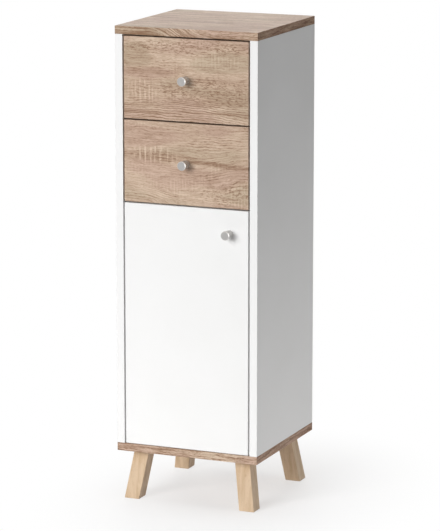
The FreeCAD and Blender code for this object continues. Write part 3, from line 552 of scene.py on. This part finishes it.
HARDBOARD_WHITE = tone(235, 235, 233)
HARDBOARD_RAW = tone(148, 116, 86)
HARDBOARD_PALE = tone(173, 141, 109)
HARDBOARD_FIBRE = ((900.0, 900.0, 900.0), 3.0, 0.7)
HARDBOARD_RANGE = (0.3, 0.7)
HARDBOARD_CLOUDS = 0.35
HARDBOARD_ROUGH = (0.0, 1.0, 0.45, 0.8)
HARDBOARD_BUMP = (0.2, 0.0002)
HARDBOARD_GLOSS = 0.3
PAINTED_LIMIT = 0.5
FORWARD = (0.0, -1.0, 0.0)
UPWARD = (0.0, 0.0, 1.0)


def hardboard(name, painted):
    """Hardboard with one painted face; painted is the way that face looks."""
    graph = new_graph(name)
    point, facing = graph.surface()
    raw = graph.math("LESS_THAN", graph.vector("DOT_PRODUCT", facing, painted, "Value"), PAINTED_LIMIT)
    fibre = graph.noise(point, *HARDBOARD_FIBRE)
    cloud = graph.noise(point, *BOARD_CLOUD)
    bare = graph.blend(graph.ease(fibre, *HARDBOARD_RANGE), HARDBOARD_RAW, HARDBOARD_PALE)
    bare = graph.blend(graph.times(cloud, HARDBOARD_CLOUDS), bare, HARDBOARD_RAW)
    color = graph.blend(raw, graph.blend(cloud, HARDBOARD_WHITE, WHITE_CLOUD), bare)
    roughness = graph.ease(raw, *HARDBOARD_ROUGH)
    normal = graph.bump(fibre, *HARDBOARD_BUMP)
    return graph.finish(color=color, roughness=roughness, normal=normal, specular=HARDBOARD_GLOSS)


# Leg wood

LEG_PALE = tone(211, 187, 159)
LEG_MID = tone(197, 171, 141)
LEG_LINE = tone(175, 144, 110)
LEG_GRAIN = ((120.0, 120.0, 7.0), 3.0, 0.55, 0.3)
LEG_FINE = ((900.0, 900.0, 40.0), 2.0)
LEG_MID_RANGE = (0.35, 0.65)
LEG_LINE_RANGE = (0.6, 0.75, 0.0, 0.4)
LEG_FINE_RANGE = (0.58, 0.7, 0.0, 0.25)
LEG_ROUGH = (0.3, 0.7, 0.42, 0.55)
LEG_BUMP = (0.15, 0.0002)
LEG_GLOSS = 0.35
KNOT_SHARE = 0.5


def leg_wood():
    """Light wood with the grain along the legs, bent round a small knot."""
    graph = new_graph("leg_wood")
    point, _ = graph.surface()
    low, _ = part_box(KNOT_LEG)
    knot = graph.patch(point, low + Vector(KNOT_PLACE), KNOT_REACH)
    x, y, z = graph.split(point)
    bent = graph.join(graph.plus(x, graph.times(knot, KNOT_BEND)), y, z)
    grain = graph.noise(bent, *LEG_GRAIN)
    fine = graph.noise(bent, *LEG_FINE)
    color = graph.blend(graph.ease(grain, *LEG_MID_RANGE), LEG_PALE, LEG_MID)
    color = graph.blend(graph.ease(grain, *LEG_LINE_RANGE), color, LEG_LINE)
    color = graph.blend(graph.ease(fine, *LEG_FINE_RANGE), color, LEG_LINE)
    color = graph.blend(graph.times(knot, KNOT_SHARE), color, LEG_LINE)
    roughness = graph.ease(grain, *LEG_ROUGH)
    normal = graph.bump(fine, *LEG_BUMP)
    return graph.finish(color=color, roughness=roughness, normal=normal, specular=LEG_GLOSS)


# Plated metals

NICKEL_LIGHT = tone(204, 202, 196)
NICKEL_DARK = tone(184, 181, 174)
NICKEL_MARKS = ((500.0, 60.0, 500.0), 2.0, 0.6)
NICKEL_ROUGH = (0.25, 0.75, 0.2, 0.32)
ZINC_LIGHT = tone(196, 198, 200)
ZINC_DARK = tone(168, 170, 172)
ZINC_MARKS = ((700.0, 84.0, 700.0), 2.0, 0.6)
ZINC_ROUGH = (0.25, 0.75, 0.3, 0.45)
METAL_CLOUD = ((70.0, 70.0, 70.0), 2.0)
METAL_MARK_SHARE = 0.6
METAL_BUMP = (0.03, 0.0001)


def metal(name, marks, light, dark, rough):
    """Plated metal with fine turned or rolled marks and a cloudy sheen."""
    graph = new_graph(name)
    point, _ = graph.surface()
    mark = graph.noise(point, *marks)
    cloud = graph.noise(point, *METAL_CLOUD)
    share = graph.plus(graph.times(mark, METAL_MARK_SHARE), graph.times(cloud, 1.0 - METAL_MARK_SHARE))
    color = graph.blend(share, light, dark)
    roughness = graph.ease(mark, *rough)
    normal = graph.bump(mark, *METAL_BUMP)
    return graph.finish(color=color, roughness=roughness, metallic=1.0, normal=normal)


# Knobs

KNOB_FACE = tone(180, 178, 176)
# The rim's lighter tone is a painted highlight; the neck's lighter tone is painted light that lifts it
# out of shade.
KNOB_RIM_PAINTED_HIGHLIGHT = tone(222, 220, 217)
KNOB_NECK_PAINTED_LIGHT = tone(196, 194, 191)
KNOB_DARK = tone(110, 108, 106)
KNOB_RINGS = ((2600.0, 2600.0, 2600.0), 2.0, 0.6)
KNOB_RING_SHARE = 0.12
KNOB_RING_ROUGH = 0.08
KNOB_FACE_RANGE = (-0.7, -0.95)
KNOB_NECK_RANGE = (-0.2, 0.0)
KNOB_FRONT_METALLIC = 0.8
KNOB_NECK_METALLIC = 0.5
KNOB_FACE_ROUGH = 0.36
KNOB_RIM_ROUGH = 0.28
KNOB_NECK_ROUGH = 0.42


def knob_nickel(node):
    """Nickel with fine turned rings: a satin face, a polished rim with a painted highlight in its
    lighter tone, and a duller neck with painted light in its lighter tone.
    """
    graph = new_graph("nickel_" + node)
    low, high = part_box(node)
    point, facing = graph.surface()
    x, y, z = graph.split(graph.vector("SUBTRACT", point, (low + high) / 2.0))
    radius = graph.math("SQRT", graph.plus(graph.times(x, x), graph.times(z, z)))
    rings = graph.noise(graph.join(radius, y, 0.0), *KNOB_RINGS)
    _, outward, _ = graph.split(facing)
    face = graph.ease(outward, *KNOB_FACE_RANGE)
    neck = graph.ease(outward, *KNOB_NECK_RANGE)
    # Rim and neck are lighter than the face: painted highlight on the rim, painted light on the shaded
    # neck.
    color = graph.blend(face, KNOB_RIM_PAINTED_HIGHLIGHT, KNOB_FACE)
    color = graph.blend(neck, color, KNOB_NECK_PAINTED_LIGHT)
    color = graph.blend(graph.times(rings, KNOB_RING_SHARE), color, KNOB_DARK)
    roughness = graph.ease(face, 0.0, 1.0, KNOB_RIM_ROUGH, KNOB_FACE_ROUGH)
    roughness = graph.plus(roughness, graph.times(neck, KNOB_NECK_ROUGH - KNOB_RIM_ROUGH))
    roughness = graph.plus(roughness, graph.centred(rings, KNOB_RING_ROUGH))
    metallic = graph.ease(neck, 0.0, 1.0, KNOB_FRONT_METALLIC, KNOB_NECK_METALLIC)
    normal = graph.bump(rings, *METAL_BUMP)
    return graph.finish(color=color, roughness=roughness, metallic=metallic, normal=normal)


# Coated steel and nylon

STEEL_WHITE = tone(238, 238, 236)
STEEL_SHADE = tone(230, 230, 227)
STEEL_PEEL = ((800.0, 800.0, 800.0), 2.0)
STEEL_ROUGH = (0.3, 0.7, 0.3, 0.42)
STEEL_DEPTH = 0.0
NYLON_PALE = tone(232, 231, 224)
NYLON_SHADE = tone(220, 218, 208)
NYLON_PEEL = ((400.0, 400.0, 400.0), 2.0)
NYLON_ROUGH = (0.3, 0.7, 0.45, 0.6)
NYLON_DEPTH = 0.05
COAT_CLOUD = ((45.0, 45.0, 45.0), 2.0)
COAT_BUMP = (0.2, 0.0002)


def coated(name, peels, pale, shade, rough, depth):
    """Smooth white surface with a fine peel; depth is the share of light that goes through it."""
    graph = new_graph(name)
    point, _ = graph.surface()
    peel = graph.noise(point, *peels)
    color = graph.blend(graph.noise(point, *COAT_CLOUD), pale, shade)
    roughness = graph.ease(peel, *rough)
    normal = graph.bump(peel, *COAT_BUMP)
    return graph.finish(color=color, roughness=roughness, normal=normal, subsurface=depth)


# Materials on the nodes

def paint(node, material):
    """Every slot of a node takes the material."""
    mesh = frame["nodes"][node].data
    for index in range(len(mesh.materials)):
        mesh.materials[index] = material


def dress():
    """Each node takes the material of its slot: its own, or one that it shares."""
    own = {"sonoma_oak_board": oak, "white_board": white_board, "satin_nickel": knob_nickel}
    foil = (FOIL_FIBRE, FOIL_WHITE, FOIL_SHADE, FOIL_ROUGH, FOIL_BUMP, FOIL_GLOSS)
    dowel = (DOWEL_FIBRE, DOWEL_PALE, DOWEL_DARK, DOWEL_ROUGH, DOWEL_BUMP, DOWEL_GLOSS)
    nickel = (NICKEL_MARKS, NICKEL_LIGHT, NICKEL_DARK, NICKEL_ROUGH)
    zinc = (ZINC_MARKS, ZINC_LIGHT, ZINC_DARK, ZINC_ROUGH)
    steel = (STEEL_PEEL, STEEL_WHITE, STEEL_SHADE, STEEL_ROUGH, STEEL_DEPTH)
    nylon = (NYLON_PEEL, NYLON_PALE, NYLON_SHADE, NYLON_ROUGH, NYLON_DEPTH)
    shared = {
        "drawer_board": fibrous("drawer_foil", *foil),
        "leg_wood": leg_wood(),
        "dowel_wood": fibrous("dowel_wood", *dowel),
        "nickel_plate": metal("nickel_plate", *nickel),
        "zinc_plate": metal("zinc_plate", *zinc),
        "white_coated_steel": coated("white_coated_steel", *steel),
        "white_nylon": coated("white_nylon", *nylon),
        "white_hardboard": hardboard("hardboard_drawer", UPWARD),
    }
    for subpart in frame["record"]["subparts"]:
        node = subpart["node"]
        slot = subpart["material_slot"]
        paint(node, own[slot](node) if slot in own else shared[slot])
    paint("back_panel", hardboard("hardboard_back", FORWARD))


# Floor, light and camera

def floor_white():
    """White that keeps the cabinet's shadow where it is seen, with painted shade round the cabinet where
    its glow fades, and throws light back near the cabinet.
    """
    graph = new_graph("studio_floor")
    seen = graph.seen()
    point, _ = graph.surface()
    away = graph.vector("LENGTH", point, output="Value")
    bounce = graph.blend(graph.ease(away, BOUNCE_START, BOUNCE_END), FLOOR_BOUNCE, FLOOR_DARK)
    graph.finish(color=graph.blend(seen, bounce, FLOOR_SHOWN), roughness=1.0, specular=0.0)
    # Within this ellipse the glow fades, so the floor shows its lit shading and real shadows, and is
    # darker where no shadow falls as well: painted shade.
    shade = graph.distance(point, FLOOR_SHADE_CENTRE, FLOOR_SHADE_REACH)
    fade = graph.ease(shade, FLOOR_FADE_START, 1.0, FLOOR_GLOW_NEAR, 1.0)
    glow = graph.add("ShaderNodeEmission", {"Color": WHITE, "Strength": 1.0}).outputs["Emission"]
    matt = graph.tree.nodes["Principled BSDF"].outputs["BSDF"]
    mixed = graph.add("ShaderNodeMixShader", {0: graph.times(fade, seen), 1: matt, 2: glow})
    graph.put(graph.tree.nodes["Material Output"].inputs["Surface"], mixed.outputs["Shader"])
    return graph.owner


def make_floor():
    mesh = bpy.data.meshes.new("studio_floor")
    corners = []
    for x, y in ((-1.0, -1.0), (1.0, -1.0), (1.0, 1.0), (-1.0, 1.0)):
        corners.append((x * FLOOR_HALF, y * FLOOR_HALF, 0.0))
    mesh.from_pydata(corners, [], [range(len(corners))])
    mesh.materials.append(floor_white())
    floor = bpy.data.objects.new("studio_floor", mesh)
    bpy.context.scene.collection.objects.link(floor)


def softbox(name, place, size, power, lights, mirrored):
    """Round softbox that lights matt surfaces, shows in glossy ones, or both."""
    lamp = bpy.data.lights.new(name, "AREA")
    lamp.shape = "DISK"
    lamp.size = size
    lamp.energy = power
    light = bpy.data.objects.new(name, lamp)
    light.location = place
    light.rotation_euler = (Vector(LIGHT_AIM) - Vector(place)).to_track_quat("-Z", "Y").to_euler()
    light.visible_camera = False
    light.visible_diffuse = lights
    light.visible_glossy = mirrored
    bpy.context.scene.collection.objects.link(light)


def make_light():
    """Softboxes and a surround that is white where it is seen."""
    for name, values in SOFTBOXES.items():
        softbox(name, *values)
    world = bpy.data.worlds.new("studio")
    bpy.context.scene.world = world
    graph = Graph(world)
    sky = graph.tree.nodes["Background"]
    graph.put(sky.inputs["Color"], WHITE)
    graph.put(sky.inputs["Strength"], graph.ease(graph.seen(), 0.0, 1.0, SKY_STRENGTH, SKY_SHOWN))


def make_camera():
    """Photograph's camera, pitched down and without shift."""
    data = bpy.data.cameras.new("camera")
    data.lens = LENS
    data.sensor_width = SENSOR
    camera = bpy.data.objects.new("camera", data)
    right = Vector((math.cos(AZIMUTH), math.sin(AZIMUTH), 0.0))
    flat = math.cos(ELEVATION)
    forward = Vector((-math.sin(AZIMUTH) * flat, math.cos(AZIMUTH) * flat, -math.sin(ELEVATION)))
    top_low, top_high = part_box("top_panel")
    middle = (top_low + top_high) / 2.0
    aim = Vector((middle.x, middle.y, top_high.z / 2.0 - AIM_DROP)) + right * AIM_RIGHT
    camera.location = aim - forward * DISTANCE
    camera.rotation_euler = forward.to_track_quat("-Z", "Y").to_euler()
    bpy.context.scene.collection.objects.link(camera)
    bpy.context.scene.camera = camera


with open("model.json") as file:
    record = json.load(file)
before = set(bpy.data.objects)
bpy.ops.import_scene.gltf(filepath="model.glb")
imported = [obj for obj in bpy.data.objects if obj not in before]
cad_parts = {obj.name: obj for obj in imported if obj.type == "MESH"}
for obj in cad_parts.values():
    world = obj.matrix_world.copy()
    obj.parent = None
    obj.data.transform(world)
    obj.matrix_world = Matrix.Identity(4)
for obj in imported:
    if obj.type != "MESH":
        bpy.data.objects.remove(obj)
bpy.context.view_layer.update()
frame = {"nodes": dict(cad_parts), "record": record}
bpy.context.scene.view_settings.view_transform = "Standard"
dress()
make_floor()
make_light()
make_camera()
